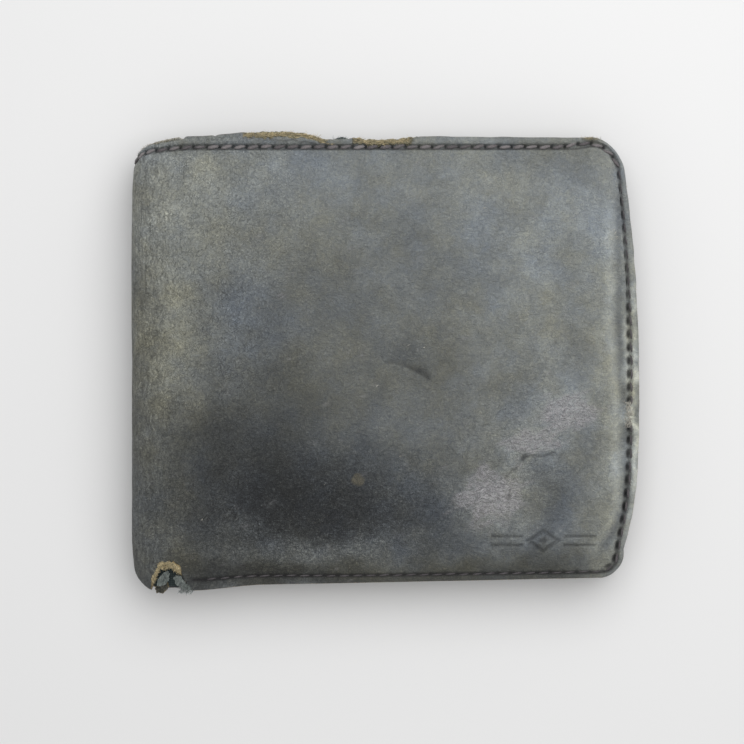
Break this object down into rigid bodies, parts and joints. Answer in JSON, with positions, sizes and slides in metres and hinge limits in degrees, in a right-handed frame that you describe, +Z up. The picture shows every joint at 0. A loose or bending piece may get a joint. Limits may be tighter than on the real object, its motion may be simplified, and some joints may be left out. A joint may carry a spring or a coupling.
{
  "type": "wallet",
  "caption": "Worn grey leather folding wallet, closed, with a stitched cover, a note compartment, stepped card slots and a hinged centre wing with clear windows.",
  "frame": {"origin": "middle of the closed wallet's footprint, on the surface its back cover rests on", "axes": "+X from the folded spine towards the free edge, +Y towards the mouth of the note compartment, +Z up"},
  "size_m": [0.109, 0.0973, 0.015],
  "materials": {
    "cover_leather": "worn smooth grain, grey",
    "panel_leather": "smooth, charcoal",
    "board": "bonded leather board",
    "lining_cloth": "fine woven, dark teal",
    "pocket_cloth": "fine woven, dark grey",
    "clear_film": "clear flexible sheet",
    "thread": "bonded thread, dark brown"
  },
  "bodies": {
    "back_half": {"back_cover_panel": "cover_leather", "back_cover_board": "board", "back_cover_lining": "lining_cloth", "back_note_wall": "lining_cloth", "back_base_panel": "panel_leather", "back_upper_card_slot": "panel_leather", "back_upper_pocket_cloth": "pocket_cloth", "back_middle_card_slot": "panel_leather", "back_middle_pocket_cloth": "pocket_cloth", "back_lower_card_slot": "panel_leather", "back_cover_thread": "thread", "back_panel_thread": "thread", "back_gutter_thread": "thread"},
    "spine": {"spine_cover": "cover_leather", "spine_lining": "lining_cloth", "gutter_strip": "panel_leather", "spine_top_thread": "thread", "spine_bottom_thread": "thread"},
    "front_half": {"front_cover_panel": "cover_leather", "front_cover_board": "board", "front_cover_lining": "lining_cloth", "front_note_wall": "lining_cloth", "front_base_panel": "panel_leather", "front_upper_card_slot": "panel_leather", "front_upper_pocket_cloth": "pocket_cloth", "front_middle_card_slot": "panel_leather", "front_middle_pocket_cloth": "pocket_cloth", "front_lower_card_slot": "panel_leather", "front_cover_thread": "thread", "front_panel_thread": "thread", "front_gutter_thread": "thread"},
    "wing": {"wing_back_frame": "panel_leather", "wing_front_frame": "panel_leather", "wing_back_window": "clear_film", "wing_front_window": "clear_film", "wing_core_cloth": "pocket_cloth", "wing_hinge_strip": "panel_leather", "wing_back_thread": "thread", "wing_front_thread": "thread"}
  },
  "joints": [
    {"name": "spine_fold", "type": "hinge", "parent": "back_half", "child": "spine", "pos_m": [-0.0545, 0, 0], "axis": [0, -1, 0], "range_deg": [0, 90]},
    {"name": "front_fold", "type": "hinge", "parent": "spine", "child": "front_half", "pos_m": [-0.0545, 0, 0.015], "axis": [0, -1, 0], "range_deg": [0, 90]},
    {"name": "wing_fold", "type": "hinge", "parent": "back_half", "child": "wing", "pos_m": [-0.0476, 0, 0.0066], "axis": [0, -1, 0], "range_deg": [0, 90]}
  ],
  "couplings": [
    {"joint": "front_fold", "follows": "spine_fold", "ratio": 1},
    {"joint": "wing_fold", "follows": "spine_fold", "ratio": 1}
  ]
}
